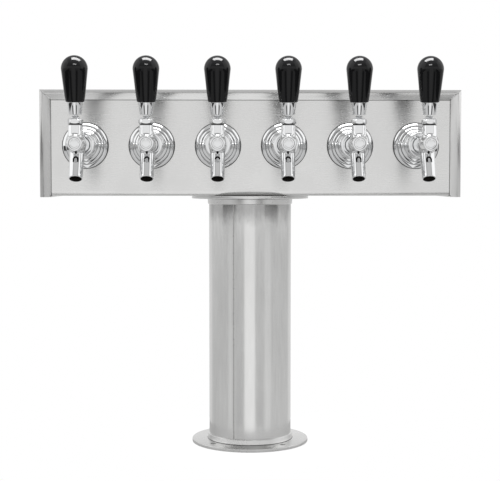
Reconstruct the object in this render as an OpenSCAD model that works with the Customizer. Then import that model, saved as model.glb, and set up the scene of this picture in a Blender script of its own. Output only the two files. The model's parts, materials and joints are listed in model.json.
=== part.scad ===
// Six-faucet T-shaped beer tower for a counter top.
// Origin: column axis at the underside of the base flange. +Z up, the faucets point along -Y.

/* [Column] */
// Outside diameter of the column tube
column_d = 101.6; // [99:0.1:104]
// Wall of the column tube
column_wall = 1.5; // [1:0.1:2]
// Height of the head's floor above the counter
column_h = 307; // [290:0.5:360]
// Diameter of the base and neck flanges
flange_d = 144; // [142:1:150]
// Thickness of the base and neck flanges
flange_t = 4; // [3:0.5:5]
// Pitch circle of the four flange holes
bolt_circle_d = 120; // [119:0.5:122]
// Diameter of each flange hole
bolt_hole_d = 6.8; // [6.4:0.1:7.2]
// How far the flange holes are turned from the diagonals
bolt_turn = -4.7; // [-6:0.1:6]
// How far the tube's weld seam is turned from the front
seam_turn = 24; // [15:1:35]

/* [Head] */
// Width of the head
head_w = 502; // [500:1:520]
// Front-to-back depth of the head
head_depth = 127; // [125:0.5:128]
// Height of the front panel
head_h = 126; // [123:0.5:130]
// Sheet thickness of the head
sheet = 1.5; // [1.4:0.1:1.6]
// Outside radius of the long front and rear bends
bend_r = 6; // [5:0.5:6.5]
// Width of the lip along each side of the front panel
side_lip = 13.8; // [13:0.1:15]
// Height of the lip along the top of the front panel
top_lip = 12.2; // [12:0.1:13]

/* [Faucets] */
// Number of faucets
faucet_count = 6; // [6:1:6]
// Distance between neighbouring faucets
faucet_pitch = 78.5; // [77.5:0.1:80]
// Height of the shank axes above the head's floor
faucet_rise = 59.5; // [57:0.5:64]
// Forward lean of each spout from the vertical
spout_lean = 27.5; // [24:0.1:29]
// Length of each spout from the barrel's axis
spout_length = 44; // [42:0.5:46]

/* [Handles] */
// Forward lean of each handle at rest
handle_lean = 5; // [4:0.5:6]
// Largest radius of the knob
knob_r = 14.8; // [13.5:0.1:15]
// Radius of the knob's foot
knob_foot_r = 10.5; // [9.5:0.1:11]
// Length of the knob
knob_length = 51; // [47:0.1:54]

/* [Hidden] */
$fn = 64;
ids = [for (i = [1:faucet_count]) i];

// Small amounts
touch = 0.05;   // gap between pieces that are fixed to each other
over = 0.1;     // how far a cutting shape runs past the face that it cuts

// Column
column_r = column_d / 2;
bore_r = column_r - column_wall;
collar_h = 7;
collar_wall = 1.3;
bolt_angles = [for (k = [0:3]) 45 + bolt_turn + 90 * k];
insulation_t = 6;

// Head
panel_y = head_depth / 2 - sheet - touch;   // outer face of the front panel and of the rear cover
inner_w = head_w - 2 * sheet;
head_top = column_h + head_h;
panel_w = inner_w - 2 * bend_r + 2;
panel_top = head_top - sheet - bend_r + 1.2;
floor_hole_r = 44;
screw_r = 1.9;
flush_r = 3.4;
side_screw_z = [column_h + 25, column_h + 95];
top_screw_x = [-150, 0, 150];
hood_screw_x = head_w / 2 - 10.2;
hood_screw_y = 40;

// Faucet stack, measured outwards from the front panel's face
faucet_z = column_h + faucet_rise;
bell_r = 27.6;
bell_end = 21.1;
bell_steps = [                              // start, end and the two radii of each step
    [touch, 2.6, bell_r, bell_r],
    [2.6, 8.4, bell_r - 0.4, 20.6],
    [8.4, 12, 20.2, 19.8],
    [12, 16, 19.4, 15.7],
    [16, bell_end, 15.5, 15.2]];
shank_r = 11.1;
shank_head_r = 13;
shank_end = 28;
shank_tail = -31;
shank_way_r = 5;
counterbore_r = 9.5;
counterbore_start = 9;
nut_r = 15;
nut_start = 22.5;
nut_end = 40;
nut_edge = 1.5;
spanner_holes = 6;
spanner_hole_r = 2.2;
inlet_o = 29.5;
inlet_r = 12.6;
inlet_t = 4.3;
barrel_r = 9.5;
barrel_bore_r = 6.5;
nose_r = 8.5;
nose_start = 82;
nose_end = 108;
nose_edge = 0.8;
plug_t = 5.6;
plug_start = nose_end - plug_t - 0.4;
lever_o = 96;
neck_r = 8.1;
neck_top = 21.1;
web_width = 9.4;
spout_start = 77.4;
spout_r = [8.6, 7.7];
spout_bore_r = 6.8;
spout_bore_length = 24;
vent_drop = 10.1;                           // how far the vent hole is below the barrel's axis
vent_r = 1.2;
scoop_drop = 13.7;                          // the same for the top of the scoop under it
scoop_r = 3.5;

// Lever mechanism
pivot_h = 25.4;
ball_r = 6.15;
socket_r = 6.45;
bonnet_flats = 15.4;
bonnet_top = 2.7;
arm_r = 1.9;
arm_slot = 4.6;
tip_r = 2;
stem_r = 2.7;
stud_r = 4.2;
stud_length = 33;
ferrule_start = 6.6;
ferrule_length = 13.8;
ferrule_r = [7.2, 9.05];
knob_start = ferrule_start + ferrule_length + touch;
swing_max = 30;                             // how far a handle pulls forward from rest
arm_low = 4;                                // where the arm's slot ends inside the barrel's bore

// Valve shaft
tip_o = lever_o - pivot_h * sin(handle_lean);   // where the arm's tip meets the valve shaft
washer_r = 8.2;
washer_t = 4.1;
washer_start = inlet_o - washer_t - 0.35;
shaft_r = 2.5;
shaft_head_r = 5.5;
shaft_head_t = 2.4;
block_start = lever_o - 9;
block_length = 13.5;
block_r = barrel_bore_r - 0.08;
block_height = [-4.4, 4.2];
block_slot = [5.6, 6.4];                    // width and length
block_slot_low = -2.7;

// Beer lines
line_r = 4;
line_bore_r = 2.5;
line_start_y = -17;
line_bend = 12;
line_drop_x = 14;
line_end_z = 60;
line_levels = [10, 22, 34];

/* Helpers */

function faucet_x(i) = (i - (faucet_count + 1) / 2) * faucet_pitch;

// Puts children on faucet i, with z outwards from the panel and y up
module at_faucet(i) {
    translate([faucet_x(i), -panel_y, faucet_z]) rotate([90, 0, 0]) children();
}

// Repeats children on every faucet
module each_faucet() {
    for (i = ids) at_faucet(i) children();
}

// Tips children upright about faucet-frame pivot, leaning forward
module at_pivot(lean) {
    translate([0, pivot_h, lever_o]) rotate([lean - 90, 0, 0]) children();
}

module ring(outer, inner, h) {
    difference() {
        cylinder(r = outer, h = h);
        translate([0, 0, -over]) cylinder(r = inner, h = h + 2 * over);
    }
}

module hexagon(flats, h) {
    cylinder(r = flats / 2 / cos(30), h = h, $fn = 6);
}

module rounded_rect(w, h, r) {
    square([w - 2 * r, h], center = true);
    square([w, h - 2 * r], center = true);
    for (sx = [-1, 1], sy = [-1, 1])
        translate([sx * (w / 2 - r), sy * (h / 2 - r)]) circle(r = r);
}

/* Column */

// A disc with a collar that the tube stands in
module column_flange() {
    difference() {
        union() {
            cylinder(d = flange_d, h = flange_t);
            cylinder(r = column_r + collar_wall, h = flange_t + collar_h - 1);
            translate([0, 0, flange_t + collar_h - 1])
                cylinder(r1 = column_r + collar_wall, r2 = column_r + 0.4, h = 1);
        }
        translate([0, 0, -over]) cylinder(r = bore_r, h = flange_t + 2 * over);
        translate([0, 0, flange_t]) cylinder(r = column_r + touch, h = collar_h + over);
        for (a = bolt_angles)
            rotate([0, 0, a]) translate([bolt_circle_d / 2, 0, -over])
                cylinder(d = bolt_hole_d, h = flange_t + 2 * over);
    }
}

module base_flange() {
    color("silver") column_flange();
}

module neck_flange() {
    color("silver") translate([0, 0, column_h]) mirror([0, 0, 1]) column_flange();
}

module column_tube() {
    tube_h = column_h - 2 * flange_t;
    color("silver") translate([0, 0, flange_t]) difference() {
        ring(column_r, bore_r, tube_h);
        rotate([0, 0, -90 - seam_turn]) translate([column_r - 0.3, -0.25, -over])
            cube([1, 0.5, tube_h + 2 * over]);
    }
}

module column_insulation() {
    color("khaki") translate([0, 0, flange_t + 2])
        ring(bore_r - 0.3, bore_r - insulation_t, column_h - 2 * flange_t - 8);
}

module neck_bolts() {
    color("gainsboro") for (a = bolt_angles)
        rotate([0, 0, a]) translate([bolt_circle_d / 2, 0, column_h - flange_t + 0.3]) {
            cylinder(r = 3, h = flange_t + sheet + 1.6);
            translate([0, 0, flange_t + sheet + 1.5]) hexagon(10, 4);
        }
}

module neck_washers() {
    color("gainsboro") for (a = bolt_angles)
        rotate([0, 0, a]) translate([bolt_circle_d / 2, 0, column_h + sheet])
            ring(6, 3.2, 1.2);
}

/* Head */

// The L-shaped section of the tray, with y along the depth and z up, grown inwards by t
module tray_section(t) {
    low = column_h + t;
    front = -panel_y + t;
    r = bend_r - t;
    translate([front + r, low]) square([2 * panel_y, head_h]);
    translate([front, low + r]) square([2 * panel_y, head_h]);
    translate([front + r, low + r]) circle(r = r);
}

module tray_blank() {
    rotate([90, 0, 90]) translate([0, 0, -panel_w / 2]) linear_extrude(panel_w)
        intersection() {
            difference() {
                tray_section(0);
                tray_section(sheet);
            }
            translate([-panel_y, column_h]) square([2 * panel_y, panel_top - column_h]);
        }
}

module head_tray() {
    color("lightgray") difference() {
        tray_blank();
        each_faucet() translate([0, 0, -2 * sheet]) cylinder(r = shank_r + 0.3, h = 4 * sheet);
        translate([0, 0, column_h - 1]) cylinder(r = floor_hole_r, h = 2 * sheet);
        for (a = bolt_angles)
            rotate([0, 0, a]) translate([bolt_circle_d / 2, 0, column_h - 1])
                cylinder(d = bolt_hole_d, h = 2 * sheet);
        hood_screw_places() translate([0, 0, -over]) cylinder(r = screw_r + 0.1, h = 4 * sheet);
    }
}

// The head's outer shape, shrunk inwards by t
module head_block(t) {
    w = head_w - 2 * t;
    d = head_depth - 2 * t;
    low = column_h - sheet + t;
    h = head_top - t - low;
    r = bend_r - t;
    intersection() {
        translate([0, 0, low]) linear_extrude(h) rounded_rect(w, d, r);
        rotate([90, 0, 90]) translate([0, low + h / 2 - bend_r, -w / 2]) linear_extrude(w)
            rounded_rect(d, h + 2 * bend_r, r);
    }
}

module lip_window(side) {
    w = head_w - 2 * side_lip;
    low = column_h - 2 * sheet;
    translate([-w / 2, side * panel_y - (side > 0 ? 1 : 3), low])
        cube([w, 4, head_top - top_lip - low]);
    for (sx = [-1, 1])
        translate([sx * w / 2, side * panel_y, column_h - sheet]) rotate([0, 45, 0])
            cube([4.2, 8, 4.2], center = true);
}

// The open seam where a side lip meets the top lip, from the window's corner to the top edge
module mitre_gap(side) {
    for (sx = [-1, 1])
        translate([sx * (head_w / 2 - side_lip), side * (head_depth / 2), head_top - top_lip])
            rotate([0, -sx * 45, 0])
                translate([sx > 0 ? -1 : -24, -sheet - touch, -0.35]) cube([25, 2 * sheet + 2 * touch, 0.7]);
}

module rear_screw_places() {
    for (z = side_screw_z, sx = [-1, 1])
        translate([sx * (head_w / 2 - 9.4), head_depth / 2, z]) rotate([-90, 0, 0]) children();
    for (x = top_screw_x)
        translate([x, head_depth / 2, head_top - 9]) rotate([-90, 0, 0]) children();
}

module hood_screw_places() {
    for (sx = [-1, 1], sy = [-1, 1])
        translate([sx * hood_screw_x, sy * hood_screw_y, column_h - sheet]) children();
}

module head_hood() {
    color("lightgray") difference() {
        head_block(0);
        head_block(sheet);
        lip_window(-1);
        lip_window(1);
        mitre_gap(-1);
        mitre_gap(1);
        translate([side_lip - head_w / 2, -head_depth, column_h - 2 * sheet])
            cube([head_w - 2 * side_lip, 2 * head_depth, 2 * sheet + over]);
        rear_screw_places() translate([0, 0, -2 * sheet]) cylinder(r = screw_r + 0.1, h = 4 * sheet);
        hood_screw_places() translate([0, 0, -over]) {
            cylinder(r = screw_r + 0.1, h = 2 * sheet);
            cylinder(r1 = flush_r + 0.2, r2 = screw_r + 0.1, h = sheet);
        }
    }
}

module rear_cover() {
    color("lightgray") difference() {
        translate([-panel_w / 2, panel_y - sheet, column_h + sheet + touch])
            cube([panel_w, sheet, panel_top - column_h - sheet - touch]);
        rear_screw_places() translate([0, 0, -3 * sheet]) cylinder(r = screw_r + 0.1, h = 4 * sheet);
    }
}

// A screw with its head above z = 0 and its shaft below
module cover_screw() {
    translate([0, 0, touch]) {
        cylinder(r = 3.6, h = 1.2);
        translate([0, 0, 1.2]) cylinder(r1 = 3.6, r2 = 2.4, h = 0.8);
    }
    translate([0, 0, -6]) cylinder(r = screw_r, h = 6 + 2 * touch);
}

module rear_cover_screws() {
    color("gainsboro") rear_screw_places() cover_screw();
}

// The same screw with a sunk head, whose face is level with z = 0
module flush_screw() {
    cylinder(r1 = flush_r, r2 = screw_r, h = sheet - touch);
    cylinder(r = screw_r, h = 8);
}

module hood_screws() {
    color("gainsboro") hood_screw_places() flush_screw();
}

/* Faucet fittings */

module bell_flange() {
    difference() {
        union() {
            for (step = bell_steps)
                translate([0, 0, step[0]])
                    cylinder(r1 = step[2], r2 = step[3], h = step[1] - step[0]);
        }
        translate([0, 0, -over]) cylinder(r = shank_r + 0.15, h = bell_end + 2 * over);
    }
}

module bell_flanges() {
    color("gainsboro") each_faucet() bell_flange();
}

module coupling_nut() {
    ledge = inlet_o + inlet_t + 2 * touch;
    difference() {
        union() {
            translate([0, 0, nut_start]) cylinder(r = nut_r, h = nut_end - nut_start - nut_edge);
            translate([0, 0, nut_end - nut_edge])
                cylinder(r1 = nut_r, r2 = nut_r - nut_edge, h = nut_edge);
        }
        translate([0, 0, nut_start - over]) cylinder(r = shank_head_r + 0.1, h = ledge - nut_start + over);
        cylinder(r = barrel_r + 0.25, h = nut_end + over);
        for (k = [1:spanner_holes])
            rotate([0, 0, 360 / spanner_holes * (k - 0.5)])
                translate([shank_head_r - 1, 0, (nut_start + nut_end) / 2]) rotate([0, 90, 0])
                    cylinder(r = spanner_hole_r, h = 6);
    }
}

module coupling_nuts() {
    color("gainsboro") each_faucet() coupling_nut();
}

module shank() {
    difference() {
        union() {
            translate([0, 0, shank_tail]) cylinder(r = shank_r, h = shank_end - shank_tail);
            translate([0, 0, bell_end + touch])
                cylinder(r = shank_head_r, h = shank_end - bell_end - touch);
        }
        translate([0, 0, counterbore_start]) cylinder(r = counterbore_r, h = shank_end);
        translate([0, 0, shank_tail - over])
            cylinder(r = shank_way_r, h = counterbore_start - shank_tail + 1);
    }
}

module shanks() {
    color("goldenrod") each_faucet() shank();
}

module shank_washers() {
    color("gainsboro") each_faucet() translate([0, 0, -3.05]) ring(16, shank_r + 0.3, 1.5);
}

module shank_nuts() {
    color("goldenrod") each_faucet() translate([0, 0, -9.1]) difference() {
        hexagon(30, 6);
        translate([0, 0, -over]) cylinder(r = shank_r + touch, h = 6 + 2 * over);
    }
}

module tailpieces() {
    color("gainsboro") each_faucet() difference() {
        union() {
            translate([0, 0, -33]) cylinder(r = 10.6, h = 1.9);
            translate([0, 0, -42]) cylinder(r = 3.8, h = 10);
            translate([0, 0, -56]) cylinder(r = line_bore_r - touch, h = 15);
        }
        translate([0, 0, -56 - over]) cylinder(r = 1.7, h = 30);
    }
}

module tail_nuts() {
    color("goldenrod") each_faucet() translate([0, 0, -36]) difference() {
        hexagon(27, 10);
        translate([0, 0, 2.8]) cylinder(r = shank_r + touch, h = 8);
        translate([0, 0, -over]) cylinder(r = 4, h = 8);
    }
}

// The way of one line on the +X side, as a solid rod
module line_route(x, level, r, extra) {
    translate([x, line_start_y - extra, faucet_z]) rotate([-90, 0, 0])
        cylinder(r = r, h = level - line_bend - line_start_y + extra);
    translate([x - line_bend, level - line_bend, faucet_z])
        rotate_extrude(angle = 90) translate([line_bend, 0]) circle(r = r);
    translate([line_drop_x + line_bend, level, faucet_z]) rotate([0, 90, 0])
        cylinder(r = r, h = x - 2 * line_bend - line_drop_x);
    translate([line_drop_x + line_bend, level, faucet_z - line_bend]) rotate([90, 0, 0])
        rotate([0, 0, 90]) rotate_extrude(angle = 90) translate([line_bend, 0]) circle(r = r);
    translate([line_drop_x, level, line_end_z - extra])
        cylinder(r = r, h = faucet_z - line_bend - line_end_z + extra);
}

module beer_lines() {
    color("ivory") for (k = [0:2], side = [0, 1])
        mirror([side, 0, 0]) difference() {
            line_route(faucet_pitch * (k + 0.5), line_levels[k], line_r, 0);
            line_route(faucet_pitch * (k + 0.5), line_levels[k], line_bore_r, over);
        }
}

/* Faucets */

// Puts children at the spout's root, with z along the spout
module on_spout() {
    translate([0, 0, spout_start]) rotate([90 - spout_lean, 0, 0]) children();
}

// The rearward sweep of the lever's arm, as a slot through neck and web, grown by t
module arm_web(t, width, top) {
    low = arm_low;
    front = -lever_o - arm_r - 1;
    back = tan(handle_lean + swing_max);
    reach = arm_r / cos(handle_lean + swing_max) + 0.3 + t;
    translate([-width / 2, 0, 0]) rotate([0, 90, 0]) linear_extrude(width) polygon([
        [front, low],
        [front, top],
        [-lever_o + (pivot_h - top) * back + reach, top],
        [-lever_o + (pivot_h - low) * back + reach, low]]);
}

module faucet_body() {
    color("gainsboro") difference() {
        union() {
            translate([0, 0, inlet_o]) cylinder(r = inlet_r, h = inlet_t);
            translate([0, 0, inlet_o]) cylinder(r = barrel_r, h = nose_start - inlet_o);
            translate([0, 0, nose_start])
                cylinder(r1 = barrel_r, r2 = nose_r, h = nose_end - nose_edge - nose_start);
            translate([0, 0, nose_end - nose_edge])
                cylinder(r1 = nose_r, r2 = nose_r - nose_edge, h = nose_edge);
            translate([0, 0, lever_o]) rotate([-90, 0, 0]) cylinder(r = neck_r, h = neck_top);
            arm_web(2.6, web_width, neck_top - 0.6);
            on_spout() cylinder(r1 = spout_r[0], r2 = spout_r[1], h = spout_length);
        }
        translate([0, 0, inlet_o - over]) cylinder(r = barrel_bore_r, h = nose_end);
        on_spout() {
            cylinder(r = spout_bore_r - 0.6, h = spout_length);
            translate([0, 0, spout_length - spout_bore_length])
                cylinder(r = spout_bore_r, h = spout_bore_length + over);
        }
        arm_web(0, arm_slot, neck_top + over);
        at_pivot(0) sphere(r = socket_r);
        translate([0, -vent_drop, spout_start]) cylinder(r = vent_r, h = nose_end - spout_start);
        translate([0, -scoop_drop - scoop_r, spout_start]) intersection() {
            cylinder(r = scoop_r, h = nose_end - spout_start);
            translate([-scoop_r, 0, 0]) cube([2 * scoop_r, scoop_r, nose_end - spout_start]);
        }
    }
}

module front_plugs() {
    color("gainsboro") each_faucet() difference() {
        translate([0, 0, plug_start]) cylinder(r = barrel_bore_r - touch, h = plug_t);
        translate([0, 0, plug_start - over]) cylinder(r = barrel_bore_r - 1.7, h = plug_t - 2);
    }
}

module bonnet() {
    at_pivot(0) difference() {
        intersection() {
            translate([0, 0, neck_top - pivot_h]) hexagon(bonnet_flats, bonnet_top + pivot_h - neck_top);
            translate([0, 0, bonnet_top - 12]) cylinder(r1 = 18.6, r2 = 6.6, h = 12);
        }
        sphere(r = socket_r);
        translate([0, 0, -8]) cylinder(r = socket_r, h = 8);
    }
}

module bonnets() {
    color("gainsboro") each_faucet() bonnet();
}

module friction_washers() {
    color("white") each_faucet() at_pivot(0) difference() {
        translate([0, 0, neck_top - pivot_h + touch]) ring(socket_r - touch, 5.5, 1.4);
        sphere(r = socket_r);
    }
}

module faucet_seals() {
    color("dimgray") each_faucet() translate([0, 0, shank_end + touch])
        ring(inlet_r, 9.8, inlet_o - shank_end - 2 * touch);
}

/* Moving pieces */

// Slides back as the lever tips: a rear head, a thin rod and a slotted block round the arm's tip
module valve_shaft() {
    head_start = washer_start - touch - shaft_head_t;
    color("gainsboro") {
        translate([0, 0, head_start]) cylinder(r = shaft_head_r, h = shaft_head_t);
        translate([0, 0, head_start + shaft_head_t - over])
            cylinder(r = shaft_r, h = block_start - washer_start + 2 * over);
        difference() {
            intersection() {
                translate([0, 0, block_start]) cylinder(r = block_r, h = block_length);
                translate([-8, block_height[0], block_start - 1])
                    cube([16, block_height[1] - block_height[0], block_length + 2]);
            }
            translate([-block_slot[0] / 2, block_slot_low, tip_o - block_slot[1] / 2])
                cube([block_slot[0], 8, block_slot[1]]);
        }
    }
}

module seat_washer() {
    color("dimgray") translate([0, 0, washer_start]) ring(washer_r, shaft_r + touch, washer_t);
}

module lever() {
    color("gainsboro") at_pivot(handle_lean) {
        sphere(r = ball_r);
        cylinder(r = stem_r, h = ferrule_start + 0.4);
        translate([0, 0, ferrule_start + 0.1]) cylinder(r = stud_r, h = stud_length);
        translate([0, 0, -pivot_h + 4]) cylinder(r = arm_r, h = pivot_h - 5);
        translate([0, 0, -pivot_h]) cylinder(r1 = tip_r - 0.3, r2 = arm_r - 0.3, h = 5);
        translate([0, 0, -pivot_h]) sphere(r = tip_r);
    }
}

module ferrule() {
    color("gainsboro") at_pivot(handle_lean) translate([0, 0, ferrule_start]) difference() {
        cylinder(r1 = ferrule_r[0], r2 = ferrule_r[1], h = ferrule_length);
        translate([0, 0, -over]) cylinder(r = stud_r + touch, h = ferrule_length + 2 * over);
    }
}

// A half-round dome on a tapering foot
module knob() {
    dome_z = knob_length - knob_r;
    color("black") at_pivot(handle_lean) translate([0, 0, knob_start]) difference() {
        union() {
            translate([0, 0, dome_z]) sphere(r = knob_r);
            cylinder(r1 = knob_foot_r, r2 = knob_r - 0.2, h = dome_z);
        }
        translate([0, 0, -over]) cylinder(r = stud_r + touch, h = stud_length - ferrule_length + 1);
    }
}

/* Output */

base_flange();
column_tube();
column_insulation();
neck_flange();
neck_bolts();
neck_washers();
head_tray();
head_hood();
rear_cover();
rear_cover_screws();
hood_screws();
bell_flanges();
coupling_nuts();
shanks();
shank_washers();
shank_nuts();
tailpieces();
tail_nuts();
beer_lines();
front_plugs();
bonnets();
friction_washers();
faucet_seals();
for (i = ids) {
    at_faucet(i) faucet_body();
    at_faucet(i) valve_shaft();
    at_faucet(i) seat_washer();
    at_faucet(i) lever();
    at_faucet(i) ferrule();
    at_faucet(i) knob();
}
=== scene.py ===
# %% [markdown]
# # A six-faucet beer tower
# The tower is a T: a round steel column carries a box of folded sheet, and six chrome faucets with
# black knobs stand in a row on its front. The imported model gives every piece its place. This lesson
# gives the pieces their looks: soft bends, rolled edges, cast chrome and brushed grain.

# %% Load the frame
import json
import math

import bmesh
import bpy
import numpy as np
from mathutils import Matrix, Vector


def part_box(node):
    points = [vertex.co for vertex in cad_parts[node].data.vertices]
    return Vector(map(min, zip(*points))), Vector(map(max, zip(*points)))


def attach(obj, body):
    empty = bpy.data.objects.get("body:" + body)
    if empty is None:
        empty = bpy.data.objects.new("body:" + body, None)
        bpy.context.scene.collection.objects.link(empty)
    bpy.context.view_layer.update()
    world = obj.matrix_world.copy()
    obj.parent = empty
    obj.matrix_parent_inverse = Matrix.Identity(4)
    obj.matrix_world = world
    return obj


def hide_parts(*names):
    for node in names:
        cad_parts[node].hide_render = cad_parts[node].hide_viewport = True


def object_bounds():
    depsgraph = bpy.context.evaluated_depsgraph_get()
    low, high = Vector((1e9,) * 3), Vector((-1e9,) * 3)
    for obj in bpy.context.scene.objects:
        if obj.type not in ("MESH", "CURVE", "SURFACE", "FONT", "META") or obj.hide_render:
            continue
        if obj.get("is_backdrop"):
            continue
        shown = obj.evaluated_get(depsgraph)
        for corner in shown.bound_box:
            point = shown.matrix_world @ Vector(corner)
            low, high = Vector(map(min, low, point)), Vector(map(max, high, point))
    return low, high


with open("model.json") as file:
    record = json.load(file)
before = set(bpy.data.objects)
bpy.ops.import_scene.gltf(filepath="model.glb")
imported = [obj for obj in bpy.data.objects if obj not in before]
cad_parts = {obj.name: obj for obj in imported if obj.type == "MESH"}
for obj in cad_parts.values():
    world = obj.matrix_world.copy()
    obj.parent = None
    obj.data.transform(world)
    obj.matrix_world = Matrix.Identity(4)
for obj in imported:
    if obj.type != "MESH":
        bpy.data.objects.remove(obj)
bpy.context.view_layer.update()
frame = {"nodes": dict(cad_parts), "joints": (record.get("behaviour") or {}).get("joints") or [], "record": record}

# %% [markdown]
# ## Where things are
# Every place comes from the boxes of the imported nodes. A faucet has its own small frame: x to the
# right, u upwards and o outwards from the front panel, with its zero on the shank's axis at the
# panel's face. One function turns that frame into the tower's.

# %% Places from the frame
MM = 0.001
FAUCETS = range(1, 7)


def at(place):
    """A move to a place in millimetres."""
    return Matrix.Translation([c * MM for c in place])


def node_centre(name):
    low, high = (Vector(corner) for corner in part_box(name))
    return (low + high) / 2


head_low, head_high = (Vector(c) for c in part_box("head_hood"))
tray_low, tray_high = (Vector(c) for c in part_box("head_tray"))
tube_low, tube_high = (Vector(c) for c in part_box("column_tube"))
panel_y = tray_low.y
shank_z = node_centre("shanks").z
faucet_x = {i: node_centre(f"knob_{i}").x for i in FAUCETS}
pivots = {j["child"]: Vector(j["pos_m"]) for j in frame["joints"] if j["type"] == "hinge"}
print("head", [round(v, 4) for v in (*head_low, *head_high)], "shank axis", round(shank_z, 4))


def faucet_frame(i):
    """Maps (x, u, o) of faucet i to the tower's frame."""
    turned = Matrix(((1, 0, 0, 0), (0, 0, -1, 0), (0, 1, 0, 0), (0, 0, 0, 1)))
    return Matrix.Translation((faucet_x[i], panel_y, shank_z)) @ turned


# %% [markdown]
# ## The camera
# The camera stands a little above the underside of the head and looks down by three degrees, so the
# head's floor is out of sight and the base flange shows as a flat ellipse. A long lens from a metre
# and a half away, just left of the middle, keeps the faucets nearly parallel.

# %% Camera
EYE = Vector((-0.0306, -1.5063, 0.3318))
AIM = Vector((0.0, 0.0, 0.2504))
LENS_MM, SENSOR_MM, NEAREST_SEEN = 87.3, 36, 0.05

camera = bpy.data.objects.new("camera", bpy.data.cameras.new("camera"))
camera.data.lens = LENS_MM
camera.data.sensor_width = SENSOR_MM
camera.location = EYE
camera.rotation_mode = "QUATERNION"
camera.rotation_quaternion = (AIM - EYE).to_track_quat("-Z", "Y")
camera.data.clip_start = NEAREST_SEEN
bpy.context.scene.collection.objects.link(camera)
bpy.context.scene.camera = camera
print("camera", tuple(round(v, 3) for v in EYE), "lens", LENS_MM)

# %% [markdown]
# ## Small tools for meshes
# Most pieces here are turned on a lathe, so one helper spins an outline of (radius, height) points
# round the z axis. A second helper rounds the corners of an outline, because every real edge is a
# little soft and that softness is what catches the light.

# %% Mesh helpers
def new_object(name, mesh):
    piece = bpy.data.objects.new(name, mesh)
    bpy.context.scene.collection.objects.link(piece)
    return piece


def object_from(name, bm):
    """Turns a bmesh into a new object."""
    mesh = bpy.data.meshes.new(name)
    bm.to_mesh(mesh)
    bm.free()
    return new_object(name, mesh)


# An arc may use up this share of a side, and a turn under this many radians stays a plain point.
SIDE_SHARE, LEAST_TURN = 0.48, 0.02


def rounded(points, radius, steps=4, closed=False):
    """Swaps each corner for an arc. A point may carry its own radius as a third number."""
    corners = [(Vector(p[:2]), p[2] if len(p) > 2 else radius) for p in points]
    out = []
    for k, (corner, r) in enumerate(corners):
        at_end = not closed and k in (0, len(corners) - 1)
        before, after = corners[k - 1][0], corners[(k + 1) % len(corners)][0]
        into, away = (corner - before).normalized(), (after - corner).normalized()
        turn = into.angle(away, 0)
        if at_end or r <= 0 or turn < LEAST_TURN:
            out.append(tuple(corner))
            continue
        room = min((corner - before).length * SIDE_SHARE, (after - corner).length * SIDE_SHARE)
        back = min(r * math.tan(turn / 2), room)
        start, end = corner - into * back, corner + away * back
        for t in [step / steps for step in range(steps + 1)]:
            out.append(tuple(start * (1 - t) ** 2 + corner * 2 * t * (1 - t) + end * t * t))
    return out


ON_AXIS = 1e-6


def lathe(name, outline, segments=96, closed=False):
    """Spins an outline in millimetres round the z axis. A closed outline makes a ring."""
    bm = bmesh.new()
    turns = [2 * math.pi * k / segments for k in range(segments)]
    rings = []
    for r, z in outline:
        if r < ON_AXIS:
            rings.append([bm.verts.new((0, 0, z * MM))] * segments)
            continue
        ring = [(r * MM * math.cos(a), r * MM * math.sin(a), z * MM) for a in turns]
        rings.append([bm.verts.new(point) for point in ring])
    pairs = list(zip(rings, rings[1:] + rings[:1] if closed else rings[1:]))
    for low, high in pairs:
        for k in range(segments):
            n = (k + 1) % segments
            corners = [low[k], low[n], high[n], high[k]]
            unique = list(dict.fromkeys(corners))
            if len(unique) > 2:
                bm.faces.new(unique)
    bmesh.ops.recalc_face_normals(bm, faces=bm.faces)
    return object_from(name, bm)


def smooth(piece, angle=32):
    """Shades faces smoothly and keeps edges sharper than the angle crisp."""
    piece.data.shade_smooth()
    piece.data.set_sharp_from_angle(angle=math.radians(angle))


def baked(piece):
    """Applies a piece's modifiers to its mesh."""
    graph = bpy.context.evaluated_depsgraph_get()
    mesh = bpy.data.meshes.new_from_object(piece.evaluated_get(graph))
    piece.modifiers.clear()
    piece.data = mesh
    return piece


def carved(piece, tools, operation):
    """Works on a piece with each tool in turn and deletes the tools."""
    for tool in tools:
        step = piece.modifiers.new("carve", "BOOLEAN")
        step.operation = operation
        step.solver = "MANIFOLD"
        step.object = tool
    bpy.context.view_layer.update()
    baked(piece)
    for tool in tools:
        bpy.data.objects.remove(tool)
    return piece


def cut(piece, tools):
    """Takes the tools' shapes out of the piece."""
    return carved(piece, tools, "DIFFERENCE")


def keep_common(piece, tool):
    """Keeps what two pieces share."""
    return carved(piece, [tool], "INTERSECT")


def rod(radius, low, high, place=Matrix(), top=None, segments=64):
    """A plain cylinder, or a cone with a second radius at its top, used as a cutting tool."""
    top = radius if top is None else top
    tool = lathe("tool", [(0, low), (radius, low), (top, high), (0, high)], segments)
    tool.data.transform(place)
    return tool


def block(low, high, place=Matrix()):
    """A plain box between two corners in millimetres, used as a cutting tool."""
    bm = bmesh.new()
    bmesh.ops.create_cube(bm, size=1)
    size = [(b - a) * MM for a, b in zip(low, high)]
    middle = [(a + b) / 2 * MM for a, b in zip(low, high)]
    stretched = Matrix.Translation(middle) @ Matrix.Diagonal((*size, 1))
    bmesh.ops.transform(bm, matrix=stretched, verts=bm.verts)
    tool = object_from("tool", bm)
    tool.data.transform(place)
    return tool


def joined(name, pieces):
    """Makes one mesh out of several pieces and deletes them."""
    bm = bmesh.new()
    for piece in pieces:
        bm.from_mesh(piece.data)
        bpy.data.objects.remove(piece)
    return object_from(name, bm)


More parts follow.
